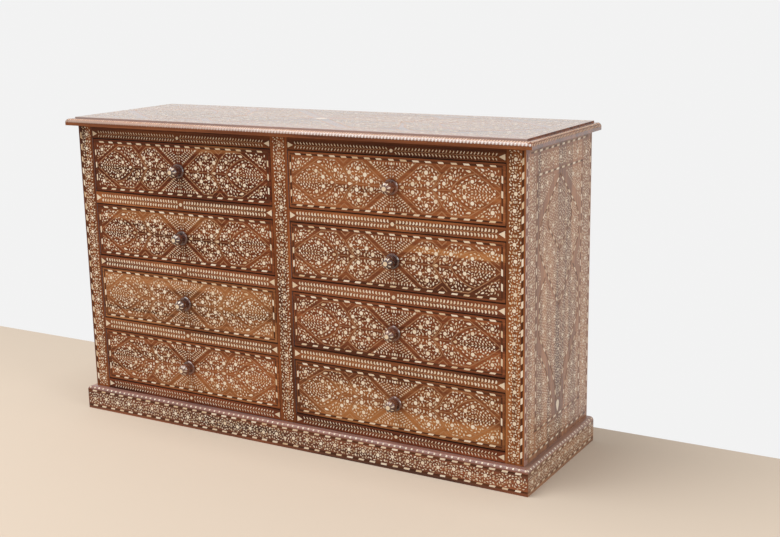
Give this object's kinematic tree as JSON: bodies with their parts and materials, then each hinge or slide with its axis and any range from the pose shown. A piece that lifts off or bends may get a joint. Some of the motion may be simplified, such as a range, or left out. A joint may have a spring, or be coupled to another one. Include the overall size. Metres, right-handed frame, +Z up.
{
  "type": "chest of drawers",
  "caption": "Wide low hardwood chest with two banks of inset drawers on turned knobs, a moulded top and a mitred plinth, its faces inlaid with bone florets, leaves and dashed borders.",
  "frame": {"origin": "on the floor under the middle of the bounding box, knobs included", "axes": "+X to the viewer's right along the front, +Y to the back, +Z up; the drawer fronts face -Y"},
  "size_m": [1.517, 0.4786, 0.915],
  "materials": {
    "frame_wood": "oiled hardwood, low sheen",
    "top_wood": "waxed hardwood, satin",
    "panel_wood": "oiled hardwood, low sheen",
    "plinth_wood": "oiled hardwood, low sheen",
    "drawer_front_wood": "oiled hardwood, low sheen",
    "drawer_box_wood": "plain planed wood",
    "inner_board_wood": "plain planed wood",
    "knob_wood": "polished dark hardwood",
    "bone_inlay": "polished cream bone",
    "dark_inlay": "dark wood chips, low sheen",
    "line_inlay": "thin pale stringing"
  },
  "bodies": {
    "carcass": {"plinth_front": "plinth_wood", "plinth_left": "plinth_wood", "plinth_right": "plinth_wood", "plinth_back": "inner_board_wood", "plinth_bearer": "inner_board_wood", "stile_left": "frame_wood", "stile_centre": "frame_wood", "stile_right": "frame_wood", "top_rail": "frame_wood", "drawer_rail_1": "frame_wood", "drawer_rail_2": "frame_wood", "drawer_rail_3": "frame_wood", "bottom_rail": "frame_wood", "side_panel_left": "panel_wood", "side_panel_right": "panel_wood", "centre_partition": "inner_board_wood", "back_panel": "inner_board_wood", "drawer_board_left_1": "inner_board_wood", "drawer_board_left_2": "inner_board_wood", "drawer_board_left_3": "inner_board_wood", "drawer_board_right_1": "inner_board_wood", "drawer_board_right_2": "inner_board_wood", "drawer_board_right_3": "inner_board_wood", "bottom_board_left": "inner_board_wood", "bottom_board_right": "inner_board_wood", "top_board": "top_wood"},
    "drawer_left_1": {"drawer_left_1_front": "drawer_front_wood", "drawer_left_1_box": "drawer_box_wood", "drawer_left_1_bottom": "drawer_box_wood", "drawer_left_1_knob": "knob_wood"},
    "drawer_left_2": {"drawer_left_2_front": "drawer_front_wood", "drawer_left_2_box": "drawer_box_wood", "drawer_left_2_bottom": "drawer_box_wood", "drawer_left_2_knob": "knob_wood"},
    "drawer_left_3": {"drawer_left_3_front": "drawer_front_wood", "drawer_left_3_box": "drawer_box_wood", "drawer_left_3_bottom": "drawer_box_wood", "drawer_left_3_knob": "knob_wood"},
    "drawer_left_4": {"drawer_left_4_front": "drawer_front_wood", "drawer_left_4_box": "drawer_box_wood", "drawer_left_4_bottom": "drawer_box_wood", "drawer_left_4_knob": "knob_wood"},
    "drawer_right_1": {"drawer_right_1_front": "drawer_front_wood", "drawer_right_1_box": "drawer_box_wood", "drawer_right_1_bottom": "drawer_box_wood", "drawer_right_1_knob": "knob_wood"},
    "drawer_right_2": {"drawer_right_2_front": "drawer_front_wood", "drawer_right_2_box": "drawer_box_wood", "drawer_right_2_bottom": "drawer_box_wood", "drawer_right_2_knob": "knob_wood"},
    "drawer_right_3": {"drawer_right_3_front": "drawer_front_wood", "drawer_right_3_box": "drawer_box_wood", "drawer_right_3_bottom": "drawer_box_wood", "drawer_right_3_knob": "knob_wood"},
    "drawer_right_4": {"drawer_right_4_front": "drawer_front_wood", "drawer_right_4_box": "drawer_box_wood", "drawer_right_4_bottom": "drawer_box_wood", "drawer_right_4_knob": "knob_wood"}
  },
  "joints": [
    {"name": "drawer_left_1_slide", "type": "slide", "parent": "carcass", "child": "drawer_left_1", "axis": [0, -1, 0], "range_m": [0, 0.3]},
    {"name": "drawer_left_2_slide", "type": "slide", "parent": "carcass", "child": "drawer_left_2", "axis": [0, -1, 0], "range_m": [0, 0.3]},
    {"name": "drawer_left_3_slide", "type": "slide", "parent": "carcass", "child": "drawer_left_3", "axis": [0, -1, 0], "range_m": [0, 0.3]},
    {"name": "drawer_left_4_slide", "type": "slide", "parent": "carcass", "child": "drawer_left_4", "axis": [0, -1, 0], "range_m": [0, 0.3]},
    {"name": "drawer_right_1_slide", "type": "slide", "parent": "carcass", "child": "drawer_right_1", "axis": [0, -1, 0], "range_m": [0, 0.3]},
    {"name": "drawer_right_2_slide", "type": "slide", "parent": "carcass", "child": "drawer_right_2", "axis": [0, -1, 0], "range_m": [0, 0.3]},
    {"name": "drawer_right_3_slide", "type": "slide", "parent": "carcass", "child": "drawer_right_3", "axis": [0, -1, 0], "range_m": [0, 0.3]},
    {"name": "drawer_right_4_slide", "type": "slide", "parent": "carcass", "child": "drawer_right_4", "axis": [0, -1, 0], "range_m": [0, 0.3]}
  ]
}
